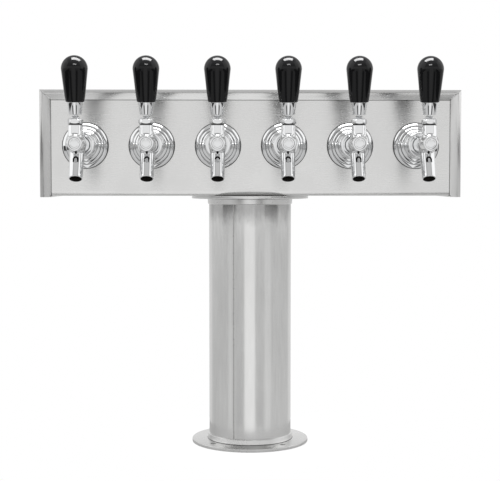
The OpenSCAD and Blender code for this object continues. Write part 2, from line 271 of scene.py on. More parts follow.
def prism(name, outline, low, high, axis="Z"):
    """Extrudes an outline in millimetres. Along Z the outline is (x, y), and along X it is (y, z)."""
    bm = bmesh.new()
    ends = []
    for level in (low, high):
        points = [(a, b, level) if axis == "Z" else (level, a, b) for a, b in outline]
        ends.append([bm.verts.new([c * MM for c in point]) for point in points])
    bm.faces.new(ends[0])
    bm.faces.new(ends[1])
    count = len(outline)
    for k in range(count):
        n = (k + 1) % count
        bm.faces.new((ends[0][k], ends[0][n], ends[1][n], ends[1][k]))
    bmesh.ops.recalc_face_normals(bm, faces=bm.faces)
    return object_from(name, bm)


def soften(piece, width, angle=45, steps=2):
    """Bevels the sharp edges of a piece by a width in millimetres."""
    step = piece.modifiers.new("soften", "BEVEL")
    step.width = width * MM
    step.segments = steps
    step.limit_method = "ANGLE"
    step.angle_limit = math.radians(angle)
    bpy.context.view_layer.update()
    return baked(piece)


print("helpers ready")

# %% [markdown]
# ## Materials
# Brushed steel is bright metal whose surface is scored in one direction. The scores are made by a
# noise that is stretched along the grain, which drives a shallow bump, a little roughness and a
# faint change of brightness. A second, much larger noise gives the cloudy patches that handling
# and rolling leave.

# %% Material helpers
def material(name, color, metallic, roughness):
    mat = bpy.data.materials.new(name)
    mat.use_nodes = True
    tree = mat.node_tree
    shader = tree.nodes["Principled BSDF"]
    shader.inputs["Base Color"].default_value = (*color, 1)
    shader.inputs["Metallic"].default_value = metallic
    shader.inputs["Roughness"].default_value = roughness
    return mat, tree, shader


def add(tree, kind, **settings):
    node = tree.nodes.new(kind)
    for key, value in settings.items():
        setattr(node, key, value)
    return node


def noise(tree, stretch, scale=1.0, detail=3.0, roughness=0.6):
    """A noise over Object coordinates, stretched by three factors."""
    coords = add(tree, "ShaderNodeTexCoord")
    mapping = add(tree, "ShaderNodeMapping")
    mapping.inputs["Scale"].default_value = stretch
    texture = add(tree, "ShaderNodeTexNoise")
    texture.inputs["Scale"].default_value = scale
    texture.inputs["Detail"].default_value = detail
    texture.inputs["Roughness"].default_value = roughness
    tree.links.new(coords.outputs["Object"], mapping.inputs["Vector"])
    tree.links.new(mapping.outputs["Vector"], texture.inputs["Vector"])
    return texture.outputs["Fac"]


def mapped(tree, value, start, end, low, high, kind="LINEAR"):
    """Maps start..end to low..high, evenly or, with SMOOTHSTEP, with soft ends."""
    node = add(tree, "ShaderNodeMapRange", interpolation_type=kind)
    for socket, number in zip(("From Min", "From Max", "To Min", "To Max"), (start, end, low, high)):
        node.inputs[socket].default_value = number
    tree.links.new(value, node.inputs["Value"])
    return node.outputs["Result"]


NOISE_LOW, NOISE_HIGH = 0.3, 0.7


def spread(tree, value, low, high):
    """Maps a noise's middle range to low..high."""
    return mapped(tree, value, NOISE_LOW, NOISE_HIGH, low, high)


def blend_values(tree, a, b, kind="MULTIPLY"):
    """Puts two values or numbers through one Math node."""
    node = add(tree, "ShaderNodeMath", operation=kind)
    for socket, value in zip(node.inputs, (a, b)):
        if isinstance(value, (int, float)):
            socket.default_value = value
        else:
            tree.links.new(value, socket)
    return node.outputs[0]


def grey(tree, shader, value, tint=(1.0, 1.0, 1.0)):
    """Feeds a brightness to the base colour, with a faint tint."""
    mix = add(tree, "ShaderNodeMix", data_type="RGBA", blend_type="MULTIPLY")
    mix.inputs["Factor"].default_value = 1.0
    mix.inputs[6].default_value = (*tint, 1)
    tree.links.new(value, mix.inputs[7])
    tree.links.new(mix.outputs[2], shader.inputs["Base Color"])


def bump(tree, shader, value, strength, distance):
    node = add(tree, "ShaderNodeBump")
    node.inputs["Strength"].default_value = strength
    node.inputs["Distance"].default_value = distance
    tree.links.new(value, node.inputs["Height"])
    tree.links.new(node.outputs["Normal"], shader.inputs["Normal"])


# %% Brushed steel: its grain, painted shade mixed with dirt in its joints, and a band of painted shade
UPRIGHT_PULL = (0, 0, 0.05)


def drawn_out(tree, shader, grain, amount):
    """Draws reflections out across the grain, and upright where a face looks along the grain."""
    normal = add(tree, "ShaderNodeNewGeometry")
    across = add(tree, "ShaderNodeVectorMath", operation="CROSS_PRODUCT")
    across.inputs[1].default_value = grain
    upright = add(tree, "ShaderNodeVectorMath", operation="ADD")
    upright.inputs[1].default_value = UPRIGHT_PULL
    tree.links.new(normal.outputs["True Normal"], across.inputs[0])
    tree.links.new(across.outputs["Vector"], upright.inputs[0])
    tree.links.new(upright.outputs["Vector"], shader.inputs["Tangent"])
    shader.inputs["Anisotropic"].default_value = amount


def on_axis(tree, axis):
    """The Object coordinate along one axis."""
    split = add(tree, "ShaderNodeSeparateXYZ")
    tree.links.new(add(tree, "ShaderNodeTexCoord").outputs["Object"], split.inputs["Vector"])
    return split.outputs[axis]


# How dark the stripes of painted shade and dirt in a joint get.
SHADE_AND_DIRT = 0.35


def shade_and_dirt_line(tree, axis, mirrored, place, width):
    """Painted shade under a lip, mixed with dirt in the joint: darkens a stripe at a place on an axis, and at its
    mirror image if asked.
    """
    distance = on_axis(tree, axis)
    if mirrored:
        distance = blend_values(tree, distance, 0.0, "ABSOLUTE")
    away = blend_values(tree, blend_values(tree, distance, place, "SUBTRACT"), 0.0, "ABSOLUTE")
    return mapped(tree, away, width * 0.5, width, SHADE_AND_DIRT, 1.0, "SMOOTHSTEP")


SHADE_SWAY = 0.005


def painted_shade_band(tree, start, end, least):
    """Painted shade below the head: falls from 1 at one height to least at another, in uneven clouds."""
    sway = spread(tree, noise(tree, (90, 90, 40)), -SHADE_SWAY, SHADE_SWAY)
    swayed = blend_values(tree, on_axis(tree, "Z"), sway, "ADD")
    return mapped(tree, swayed, start, end, 1.0, least, "SMOOTHSTEP")


def brushed(name, fine, cloud, base, rough, grain, amount, lines=(), top_shade=None):
    """Brushed steel: fine and cloud stretch the scores and the clouds over x, y and z."""
    mat, tree, shader = material(name, (base,) * 3, 1.0, rough)
    drawn_out(tree, shader, grain, amount)
    scores = noise(tree, fine, detail=2.0, roughness=0.7)
    clouds = noise(tree, cloud)
    tone = blend_values(tree, spread(tree, scores, base - 0.02, base + 0.02),
                        spread(tree, clouds, 0.91, 1.05))
    # The stripes add painted shade mixed with dirt in joints, and the band adds painted shade below the head.
    for line in lines:
        tone = blend_values(tree, tone, shade_and_dirt_line(tree, *line))
    if top_shade:
        tone = blend_values(tree, tone, painted_shade_band(tree, *top_shade))
    grey(tree, shader, tone, (1.0, 0.998, 0.99))
    wear = blend_values(tree, spread(tree, scores, rough - 0.03, rough + 0.03),
                        spread(tree, clouds, 0.85, 1.15))
    tree.links.new(wear, shader.inputs["Roughness"])
    bump(tree, shader, scores, 0.12, 0.00006)
    return mat


ALONG_X, ALONG_Z = (1, 0, 0), (0, 0, 1)
HEAD_GRAIN = ((14, 420, 2600), (15, 15, 15), 0.78, 0.27, ALONG_X, 0.8)
LIP_SCORES, LIP_CLOUDS = (1800, 420, 14), (40, 15, 5)
# The band of painted shade under the head: where it starts and ends below the tube's top, and its least
# brightness.
SHADE_START, SHADE_END, SHADE_TONE = 34 * MM, 10 * MM, 0.62

brushed_head = brushed("brushed_head", *HEAD_GRAIN)
# The end lips' steel is painted darker on the left as painted shade and lighter on the right as painted light, as
# the light falls off to the left.
brushed_left_shaded = brushed("brushed_left_shaded", LIP_SCORES, LIP_CLOUDS, 0.60, 0.30, ALONG_Z, 0.8)
brushed_right_lit = brushed("brushed_right_lit", LIP_SCORES, LIP_CLOUDS, 0.74, 0.30, ALONG_Z, 0.8)
brushed_flange = brushed("brushed_flange", (300,) * 3, (30,) * 3, 0.74, 0.30, ALONG_Z, 0.0)
# Painted shade: the column's steel darkens towards its top, under the head.
top_shade = (tube_high.z - SHADE_START, tube_high.z - SHADE_END, SHADE_TONE)
brushed_column = brushed("brushed_column", (420, 420, 30), (16, 16, 6), 0.78, 0.16, ALONG_Z, 0.0,
                         top_shade=top_shade)
print("brushed steels ready")

# %% Chrome, black plastic and the hidden materials
def speckled(name, color, metallic, roughness, scale, wobble, height=0.0):
    """A finish with a small, even change of roughness and, if asked, of height."""
    mat, tree, shader = material(name, color, metallic, roughness)
    grain = noise(tree, (1, 1, 1), scale, detail=4.0)
    tree.links.new(spread(tree, grain, roughness - wobble, roughness + wobble), shader.inputs["Roughness"])
    if height:
        bump(tree, shader, grain, 0.3, height)
    return mat


def shader_of(mat):
    return mat.node_tree.nodes["Principled BSDF"]


chrome = speckled("chrome", (0.79, 0.795, 0.80), 1.0, 0.06, 260, 0.025)
weld_metal = speckled("weld_metal", (0.36, 0.36, 0.35), 1.0, 0.30, 300, 0.08, 0.00002)
# A darker copy of the chrome: painted shade for grooves, steep mouldings and fillets.
painted_shade = speckled("painted_shade_metal", (0.13, 0.13, 0.13), 1.0, 0.30, 260, 0.05)
bore_metal = speckled("bore_metal", (0.035, 0.033, 0.030), 0.6, 0.55, 500, 0.1, 0.00002)
plain_steel = speckled("plain_steel", (0.6, 0.6, 0.6), 1.0, 0.32, 500, 0.08, 0.00003)
brass = speckled("brass", (0.74, 0.57, 0.30), 1.0, 0.28, 400, 0.08, 0.00002)
rubber = speckled("rubber", (0.03, 0.03, 0.03), 0.0, 0.75, 900, 0.1, 0.00004)
nylon = speckled("nylon", (0.82, 0.81, 0.77), 0.0, 0.5, 700, 0.08, 0.00002)
foam = speckled("foam", (0.10, 0.10, 0.105), 0.0, 0.9, 1400, 0.05, 0.0002)
vinyl = speckled("vinyl", (0.78, 0.78, 0.74), 0.0, 0.3, 120, 0.06)
black_plastic = speckled("black_plastic", (0.006, 0.006, 0.0065), 0.0, 0.07, 320, 0.02)
shader_of(black_plastic).inputs["Specular IOR Level"].default_value = 0.22
print("materials", [m.name for m in bpy.data.materials])

# %% [markdown]
# ## Dress the pieces that keep their CAD shape
# A washer or a hidden fitting is already right, so it only gets its finish. One more helper ends
# the work on every new piece: it gives the finish, hides the CAD node it stands for and gives its body.

# %% Finishes for carried-over nodes
FINISHES = {
    "brushed_head": brushed_head, "brushed_column": brushed_column, "chrome": chrome,
    "plain_steel": plain_steel, "brass": brass, "rubber": rubber, "nylon": nylon, "foam": foam,
    "vinyl": vinyl, "black_plastic": black_plastic,
}
slots = {row["node"]: row["material_slot"] for row in frame["record"]["subparts"]}

for name, node in frame["nodes"].items():
    for material_slot in node.material_slots:
        material_slot.material = FINISHES[slots[name]]
print("dressed", len(frame["nodes"]), "nodes")


# %% Ending a new piece
def hand_over(piece, node, body, angle=32):
    """Gives a piece its finish and lets it stand for a CAD node on a body."""
    piece.data.materials.clear()
    piece.data.materials.append(FINISHES[slots[node]])
    smooth(piece, angle)
    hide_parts(node)
    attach(piece, body)
    return piece


# %% A second finish: painted shade for grooves and edges, and a finish for bores
def second_finish(piece, finish, test):
    """Gives the faces that pass a test a second finish."""
    piece.data.materials.append(finish)
    last = len(piece.data.materials) - 1
    chosen = [face for face in piece.data.polygons if test(face)]
    for face in chosen:
        face.material_index = last
    return len(chosen)


# %% [markdown]
# ## Handles
# A handle is three turned pieces on one stem: the lever with its ball, a chrome ferrule and the
# knob. Each is an outline of radius and height, spun on the lathe. Height counts from the ball's
# centre along the stem, and a small turn about x then leans the handle forward.

# %% Handle sizes
LEAN = math.radians(5)
PIVOT_UP = 25.4
FERRULE_LOW, FERRULE_HIGH = 6.6, 20.4
KNOB_LOW, KNOB_LENGTH, KNOB_R, KNOB_FOOT_R = 20.45, 51.0, 14.8, 10.5
STUD_R, STUD_BORE_R, STUD_BORE_DEPTH = 4.2, 4.35, 20


def handle_frame(i):
    """Maps heights along handle i's stem to the tower's frame."""
    return Matrix.Translation(pivots[f"handle_{i}"]) @ Matrix.Rotation(LEAN, 4, "X")


def arc(r, middle, start, end, steps):
    """Points (radius, height) on a circle about the axis, from one angle above level to another."""
    angles = [math.radians(start + (end - start) * k / steps) for k in range(steps + 1)]
    return [(r * math.cos(a), middle + r * math.sin(a)) for a in angles]


# %% Knobs: a half-round dome that runs into a slightly hollow taper
dome_z = KNOB_LENGTH - KNOB_R
TAPER_POWER, TAPER_SHARES = 0.93, (0.2, 0.4, 0.6, 0.8, 0.92)
taper = [(KNOB_FOOT_R + (KNOB_R - KNOB_FOOT_R) * t ** TAPER_POWER, dome_z * t) for t in TAPER_SHARES]
foot = rounded([(STUD_BORE_R, STUD_BORE_DEPTH), (STUD_BORE_R, 0), (KNOB_FOOT_R - 0.15, 0), taper[0]], 1.1, 5)
dome = arc(KNOB_R, dome_z, 0, 89.9, 22)
knob_outline = [(0, STUD_BORE_DEPTH)] + foot[:-1] + taper + dome[:-1] + [(0, KNOB_LENGTH)]
knob_outline = [(r, z + KNOB_LOW) for r, z in knob_outline]
knobs = []
for i in FAUCETS:
    knob = lathe(f"knob_body_{i}", knob_outline, 96)
    knob.data.transform(handle_frame(i))
    knobs.append(hand_over(knob, f"knob_{i}", f"handle_{i}", 50))
print("knob outline points", len(knob_outline))

# %% Ferrules and levers
ferrule_outline = rounded([
    (STUD_R + 0.05, FERRULE_LOW), (7.2, FERRULE_LOW, 0.7), (9.05, FERRULE_HIGH, 0.4),
    (STUD_R + 0.05, FERRULE_HIGH)], 0.2, 3, closed=True)
lever_outline = (
    [(0, -27.4)] + arc(2.0, -25.4, -80, 20, 8) + [(1.75, -22), (1.9, -18), (1.9, -6.4)]
    + arc(6.15, 0, -71, 63, 28) + [(2.7, 6.3), (3.0, 6.65), (STUD_R, 6.7), (STUD_R, 39.0), (3.6, 39.6)]
    + [(0, 39.6)])
for i in FAUCETS:
    ferrule = lathe(f"ferrule_cone_{i}", ferrule_outline, 72, closed=True)
    ferrule.data.transform(handle_frame(i))
    hand_over(ferrule, f"ferrule_{i}", f"handle_{i}", 50)
    lever = lathe(f"lever_stem_{i}", lever_outline, 48)
    lever.data.transform(handle_frame(i))
    hand_over(lever, f"lever_{i}", f"handle_{i}", 40)
print("handles", len(pivots))

# %% [markdown]
# ## A row of fittings
# Every faucet has the same turned pieces about it: a bell with swelling mouldings against the
# panel, a round nut with spanner holes, a plug in its nose and a hexagon bonnet round the lever's
# ball. Six copies at one pitch are a rule, so a small node tree repeats one fitting along
# a line. Its result is turned into a plain mesh, because the tower's frame only takes meshes.

# %% The row tree
def link(tree, from_node, output, to_node, name):
    tree.links.new(from_node.outputs[output], to_node.inputs[name])


def started(name, **inputs):
    """A new tree and its inputs, each given as a name and a kind."""
    tree = bpy.data.node_groups.new(name, "GeometryNodeTree")
    for socket, kind in inputs.items():
        tree.interface.new_socket(name=socket, in_out="INPUT", socket_type=f"NodeSocket{kind}")
    return tree, add(tree, "NodeGroupInput")


def ended(tree, entry, copies):
    """Ends a tree: the copies become one mesh and take the Finish."""
    tree.interface.new_socket(name="Set", in_out="OUTPUT", socket_type="NodeSocketGeometry")
    real = add(tree, "GeometryNodeRealizeInstances")
    finish = add(tree, "GeometryNodeSetMaterial")
    link(tree, copies, "Instances", real, "Geometry")
    link(tree, real, "Geometry", finish, "Geometry")
    link(tree, entry, "Finish", finish, "Material")
    link(tree, finish, "Geometry", add(tree, "NodeGroupOutput"), "Set")
    return tree


def row_tree():
    """Copies a fitting Count times, Pitch apart along x, and gives the copies one finish."""
    tree, entry = started("fitting_row", Fitting="Object", Count="Int", Pitch="Float", Finish="Material")
    line = add(tree, "GeometryNodeMeshLine", mode="OFFSET", count_mode="TOTAL")
    offset = add(tree, "ShaderNodeCombineXYZ")
    source = add(tree, "GeometryNodeObjectInfo")
    copies = add(tree, "GeometryNodeInstanceOnPoints")
    link(tree, entry, "Pitch", offset, "X")
    link(tree, entry, "Count", line, "Count")
    link(tree, offset, "Vector", line, "Offset")
    link(tree, entry, "Fitting", source, "Object")
    link(tree, line, "Mesh", copies, "Points")
    link(tree, source, "Geometry", copies, "Instance")
    return ended(tree, entry, copies)


def grown(carrier, tree, **inputs):
    """Runs a node tree on a carrier with the named inputs and keeps the result as its mesh."""
    step = carrier.modifiers.new("grow", "NODES")
    step.node_group = tree
    entries = [item for item in tree.interface.items_tree if item.in_out == "INPUT"]
    sockets = {item.name: item.identifier for item in entries}
    for name, value in inputs.items():
        step[sockets[name]] = value
    bpy.context.view_layer.update()
    return baked(carrier)


fitting_row = row_tree()
pitch = (faucet_x[FAUCETS[-1]] - faucet_x[FAUCETS[0]]) / (len(FAUCETS) - 1)
print("faucet pitch", round(pitch, 5))


# %% Making a row out of one fitting
def row_of(fitting, node, angle=32):
    """Repeats a fitting, made round the barrel's axis in millimetres, on all the faucets."""
    fitting.data.transform(faucet_frame(FAUCETS[0]))
    carrier = new_object(f"{node}_row", bpy.data.meshes.new(node))
    finish = FINISHES[slots[node]]
    row = grown(carrier, fitting_row, Fitting=fitting, Count=len(FAUCETS), Pitch=pitch, Finish=finish)
    bpy.data.objects.remove(fitting)
    return hand_over(row, node, "tower", angle)


# %% Bell flanges: swelling mouldings that climb to the nut
SHANK_CLEAR = 11.25


def moulding(r_out, r_in, low, steep, gentle, steps=8):
    """A swelling step. Its slope falls from steep to gentle (degrees) on the way in."""
    first, last = math.radians(steep), math.radians(gentle)
    swell = (r_out - r_in) / (math.sin(first) - math.sin(last))
    out = []
    for a in [first + (last - first) * k / steps for k in range(steps + 1)]:
        r = r_out + swell * (math.sin(a) - math.sin(first))
        out.append((r, low + swell * (math.cos(a) - math.cos(first))))
    return out


bell_outline = [(SHANK_CLEAR, 0.05), (27.3, 0.05), (27.6, 0.35)] + moulding(27.6, 26.7, 0.8, 90, 48, 4)
bell_outline += moulding(26.7, 22.9, bell_outline[-1][1], 48, 24)[1:]
# Each upper moulding: its foot's radius and height, those of its turn, and its inner radius.
for r_foot, foot_o, r_turn, turn_o, r_in in ((22.8, 5.9, 22.4, 6.4, 19.5), (19.3, 9.6, 18.9, 10.2, 16.4)):
    bell_outline += moulding(r_foot, r_turn, foot_o, 85, 50, 3) + moulding(r_turn, r_in, turn_o, 50, 26)[1:]
bell_outline += [(16.1, 12.4), (15.6, 13.4), (15.3, 15.0), (15.2, 17.0), (15.2, 20.7)]
bell_outline += [(14.8, 21.1), (SHANK_CLEAR, 21.1)]
print("bell outline", [tuple(round(v, 1) for v in p) for p in bell_outline[::4]])
bells = row_of(lathe("bell", bell_outline, 128, closed=True), "bell_flanges", 40)
STEEP, SHADE_FROM, SHADE_TO = 0.66, 0.4 * MM, 12.5 * MM


def on_steep_moulding(face):
    """True for a face of the mouldings that looks more sideways than forward."""
    return abs(face.normal.y) < STEEP and SHADE_FROM < panel_y - face.center.y < SHADE_TO


# Painted shade: the steep faces of the mouldings take the darker metal, drawing dark rings.
painted_shade_count = second_finish(bells, painted_shade, on_steep_moulding)
print("bell flanges", len(bells.data.polygons), "faces, dulled", painted_shade_count)

# %% Coupling nuts: a plain ring with rounded edges and six spanner holes
nut_outline = rounded([
    (13.1, 22.5, 0.3), (15, 22.5, 0.9), (15, 40, 1.5), (9.75, 40, 0.5), (9.75, 33.9, 0.2), (13.1, 33.9, 0.2)],
    0.3, 5, closed=True)
nut = lathe("nut", nut_outline, 128, closed=True)
HOLE_R, HOLE_DEPTH, HOLE_START, HOLE_O = 2.2, 6, 12, 31.2
holes = []
for k in range(6):
    aim = Matrix.Rotation(math.radians(60 * k + 30), 4, "Z") @ at((HOLE_START, 0, HOLE_O))
    aim = aim @ Matrix.Rotation(math.radians(90), 4, "Y")
    holes.append(rod(HOLE_R, 0, HOLE_DEPTH, aim, segments=32))
cut(nut, holes)
nuts = row_of(nut, "coupling_nuts", 35)
print("coupling nuts", len(nuts.data.polygons), "faces")

# %% Front plugs: a flat disc with a soft edge and a shallow turned ring
plug_outline = rounded([
    (0, 104.0, 0), (4.8, 104.0, 0.2), (4.8, 102, 0.2), (6.45, 102, 0.2), (6.45, 107.5, 0.5),
    (4.7, 107.6, 0.4), (4.3, 107.35, 0.4), (0, 107.35, 0)], 0.2, 4)
plugs = row_of(lathe("plug", plug_outline, 96), "front_plugs", 40)
print("front plugs", len(plugs.data.polygons), "faces")

# %% Bonnets: a hexagon turned down at both ends, so each flat ends in a curve
BONNET_FLATS, BONNET_TOP, NECK_TOP, LEVER_O = 15.4, 2.7, 21.1, 96.0
SOCKET_R, GROOVE_TOP = 6.45, -2.75
STAND = Matrix.Rotation(math.radians(-90), 4, "X")
corner_r = BONNET_FLATS / 2 / math.cos(math.radians(30))
hexagon = [(corner_r * math.cos(a), corner_r * math.sin(a)) for a in [math.radians(60 * k) for k in range(6)]]
turned_outline = [(0, -4.3), (7.0, -4.3), (7.0, -3.9), (9.0, -2.9), (9.0, 0.3), (6.6, BONNET_TOP),
                  (0, BONNET_TOP)]


def ball_socket():
    """The hollow for a lever's ball, used as a cutting tool."""
    return lathe("socket", arc(SOCKET_R, 0, -89.9, 89.9, 40), 64)


bonnet = prism("bonnet", hexagon, NECK_TOP - PIVOT_UP, BONNET_TOP)
keep_common(bonnet, lathe("turned", turned_outline, 128))
cut(bonnet, [ball_socket(), rod(SOCKET_R, -8, 0)])
soften(bonnet, 0.22, 30)
bonnet.data.transform(at((0, PIVOT_UP, LEVER_O)) @ STAND)
bonnets = row_of(bonnet, "bonnets", 30)
# Painted shade: the groove under the bonnet takes the darker metal.
groove_top = shank_z + (PIVOT_UP + GROOVE_TOP) * MM
painted_shade_count = second_finish(bonnets, painted_shade, lambda face: face.center.z < groove_top)
print("bonnets", len(bonnets.data.polygons), "faces, dulled", painted_shade_count)

# %% [markdown]
# ## Faucet bodies
# A faucet is one brass casting under its chrome: a barrel, an upright neck for the lever, a web
# behind it and a leaning spout, all running into each other with soft fillets. Booleans leave hard
# seams there, so the shape is a distance field of cones joined by a smooth minimum. A voxel
# remesh of the plain cones gives evenly spread points, and a few Newton steps bring every point
# onto the field. The drilled and milled holes come last, as sharp boolean cuts.

# %% The distance field of a faucet
SPOUT_START, SPOUT_LEAN, SPOUT_LENGTH = 77.4, math.radians(27.5), 44.0
SPOUT_WAY = np.array((0, -math.cos(SPOUT_LEAN), math.sin(SPOUT_LEAN)))
SPOUT_R, SPOUT_END_R = 8.6, 7.7
BARREL_BACK, BARREL_FRONT, BARREL_R = 29.5, 82, 9.5
NOSE_FRONT, NOSE_R = 108, 8.5
COLLAR_FRONT, COLLAR_R = 33.8, 12.6
WEB_FOOT, WEB_HEAD, WEB_R = (0, 2, 80.1), (0, 24, 95.5), 4.7


def cone_distance(points, start, end, r_start, r_end, edge):
    """Distance from points to a cone between two places, with its end edges rounded."""
    start, end = np.array(start, float), np.array(end, float)
    way = (end - start) / np.linalg.norm(end - start)
    start, end = start + way * edge, end - way * edge
    r_start, r_end = r_start - edge, r_end - edge
    length2 = np.dot(end - start, end - start)
    from_start = points - start
    along = from_start @ (end - start) / length2
    across = np.sqrt(np.maximum(np.einsum("ij,ij->i", from_start, from_start) - along ** 2 * length2, 0))
    past_r = np.maximum(0, across - np.where(along < 0.5, r_start, r_end))
    past_end = np.abs(along - 0.5) - 0.5
    slope = r_end - r_start
    share = np.clip((slope * (across - r_start) + along * length2) / (slope ** 2 + length2), 0, 1)
    side_r, side_end = across - r_start - share * slope, along - share
    inside = np.where((side_r < 0) & (past_end < 0), -1.0, 1.0)
    near = np.minimum(past_r ** 2 + past_end ** 2 * length2, side_r ** 2 + side_end ** 2 * length2)
    return inside * np.sqrt(near) - edge


def blended(a, b, fillet):
    """Smooth minimum of two distances."""
    share = np.maximum(fillet - np.abs(a - b), 0) / fillet
    return np.minimum(a, b) - share ** 2 * fillet / 4


def faucet_distance(points):
    """Distance from points to the whole casting, in millimetres."""
    barrel = cone_distance(points, (0, 0, BARREL_BACK), (0, 0, BARREL_FRONT), BARREL_R, BARREL_R, 0.3)
    nose = cone_distance(points, (0, 0, 78), (0, 0, NOSE_FRONT), 9.6, NOSE_R, 0.8)
    neck = cone_distance(points, (0, 0, LEVER_O), (0, NECK_TOP, LEVER_O), 8.7, 8.0, 1.0)
    web = cone_distance(points, WEB_FOOT, WEB_HEAD, WEB_R, WEB_R, 0.8)
    web = np.maximum(web, points[:, 1] - (NECK_TOP - 0.6))
    root = np.array((0, 0, SPOUT_START))
    spout = cone_distance(points, root, root + SPOUT_WAY * SPOUT_LENGTH, SPOUT_R, SPOUT_END_R, 0.45)
    collar = cone_distance(points, (0, 0, BARREL_BACK), (0, 0, COLLAR_FRONT), COLLAR_R, COLLAR_R, 0.3)
    upright = blended(neck, web, 2.0)
    body = blended(blended(blended(barrel, nose, 0.8), upright, 3.5), spout, 3.5)
    return np.minimum(body, collar)


# %% Points spread over the plain cones
VOXEL = 0.6
neck_place = at((0, 0, LEVER_O)) @ STAND
web_place = at(WEB_FOOT) @ Matrix.Rotation(math.radians(-55), 4, "X")
spout_place = at((0, 0, SPOUT_START)) @ Matrix.Rotation(math.radians(90) - SPOUT_LEAN, 4, "X")
cones = [rod(BARREL_R, BARREL_BACK, BARREL_FRONT), rod(BARREL_R, 80, NOSE_FRONT, top=NOSE_R),
         rod(COLLAR_R, BARREL_BACK, COLLAR_FRONT), rod(8.2, 0, NECK_TOP, neck_place),
         rod(WEB_R, 0, 20.5, web_place), rod(SPOUT_R, 0, SPOUT_LENGTH, spout_place, top=SPOUT_END_R)]
faucet = joined("faucet", cones)
spread_step = faucet.modifiers.new("spread", "REMESH")
spread_step.mode = "VOXEL"
spread_step.voxel_size = VOXEL * MM
bpy.context.view_layer.update()
baked(faucet)
print("points on the plain cones", len(faucet.data.vertices))


# %% Settle the points on the field
def settled(points, distance, steps=6, gap=0.02):
    """Moves points along the field's slope until they lie on its surface."""
    for _ in range(steps):
        rises = [distance(points + d) - distance(points - d) for d in np.eye(3) * gap]
        slope = np.stack(rises, 1) / (2 * gap)
        size = np.maximum(np.einsum("ij,ij->i", slope, slope), 0.25)
        points = points - (distance(points) / size)[:, None] * slope
    return points


flat = np.empty(len(faucet.data.vertices) * 3)
faucet.data.vertices.foreach_get("co", flat)
settled_points = settled(flat.reshape(-1, 3) / MM, faucet_distance)
faucet.data.vertices.foreach_set("co", (settled_points * MM).ravel())
faucet.data.update()
print("largest miss in mm", round(float(np.abs(faucet_distance(settled_points)).max()), 4))

# %% Bores, the lever's slot and socket, the vent and its scoop
OPEN_TILT, ARM_R, ARM_ROOM = math.radians(35), 1.9, 0.3
SLOT_HALF, SLOT_FRONT, SLOT_LOW, SLOT_TOP = 2.3, 2.9, 4, 30
SCOOP_MIDDLE, SCOOP_FOOT, SCOOP_OUT, SCOOP_IN = -17.2, -20.4, 3.35, 1.45
PAST_NOSE = NOSE_FRONT + 4


def slot_back(u):
    """How far back the slot reaches at height u, to let the arm swing open."""
    return LEVER_O - (PIVOT_UP - u) * math.tan(OPEN_TILT) - (ARM_R / math.cos(OPEN_TILT) + ARM_ROOM)


def half_round(r):
    """A half circle of the scoop, from right to left over its top."""
    turns = [math.radians(a) for a in range(0, 181, 12)]
    return [(r * math.cos(a), SCOOP_MIDDLE + r * math.sin(a)) for a in turns]


slot_sides = [(SLOT_LOW, LEVER_O + SLOT_FRONT), (SLOT_TOP, LEVER_O + SLOT_FRONT),
              (SLOT_TOP, slot_back(SLOT_TOP)), (SLOT_LOW, slot_back(SLOT_LOW))]
scoop_sides = [(SCOOP_OUT, SCOOP_FOOT)] + half_round(SCOOP_OUT) + [(-SCOOP_OUT, SCOOP_FOOT)]
scoop_sides += [(-SCOOP_IN, SCOOP_FOOT)] + half_round(SCOOP_IN)[::-1] + [(SCOOP_IN, SCOOP_FOOT)]
hollow = ball_socket()
hollow.data.transform(at((0, PIVOT_UP, LEVER_O)))
cut(faucet, [
    rod(6.5, 29.0, 109), rod(6.2, 0, 44.5, spout_place), rod(6.8, 20, 45, spout_place),
    prism("slot", slot_sides, -SLOT_HALF, SLOT_HALF, "X"), hollow,
    rod(1.25, SPOUT_START, PAST_NOSE, at((0, -10.1, 0)), segments=32),
    prism("scoop", scoop_sides, SPOUT_START, PAST_NOSE)])
print("faucet cut", len(faucet.data.polygons), "faces")


# %% Six castings, bright outside and dark in the bores, with painted shade under the bonnet
BORE_IN, COLLAR_SHADE = -0.35, 0.8


def inside_bores(face):
    """True for a face on a bore, the slot or the scoop, a little behind the outer skin."""
    centre = np.array(face.center)[None, :] / MM
    return float(faucet_distance(centre)[0]) < BORE_IN


def finish_number(face):
    """0 for bright chrome, 1 for a bore, 2 for painted shade on the neck's top edge under the bonnet."""
    if inside_bores(face):
        return 1
    return 2 if face.center.y > (NECK_TOP - COLLAR_SHADE) * MM else 0


finish_numbers = [finish_number(face) for face in faucet.data.polygons]
for i in FAUCETS:
    body = new_object(f"faucet_casting_{i}", faucet.data.copy())
    body.data.transform(faucet_frame(i))
    hand_over(body, f"faucet_body_{i}", "tower", 38)
    body.data.materials.append(bore_metal)
    body.data.materials.append(painted_shade)
    body.data.polygons.foreach_set("material_index", finish_numbers)
print("faucet body", len(faucet.data.polygons), "faces")
bpy.data.objects.remove(faucet)

# %% [markdown]
# ## Column and flanges
# The column is a rolled tube with one weld seam, so its section is a circle with a fine groove.
# Each flange is a disc with a collar for the tube. Its rim is broken by hand after turning, and
# each bolt hole has a small countersink left by the deburring tool.

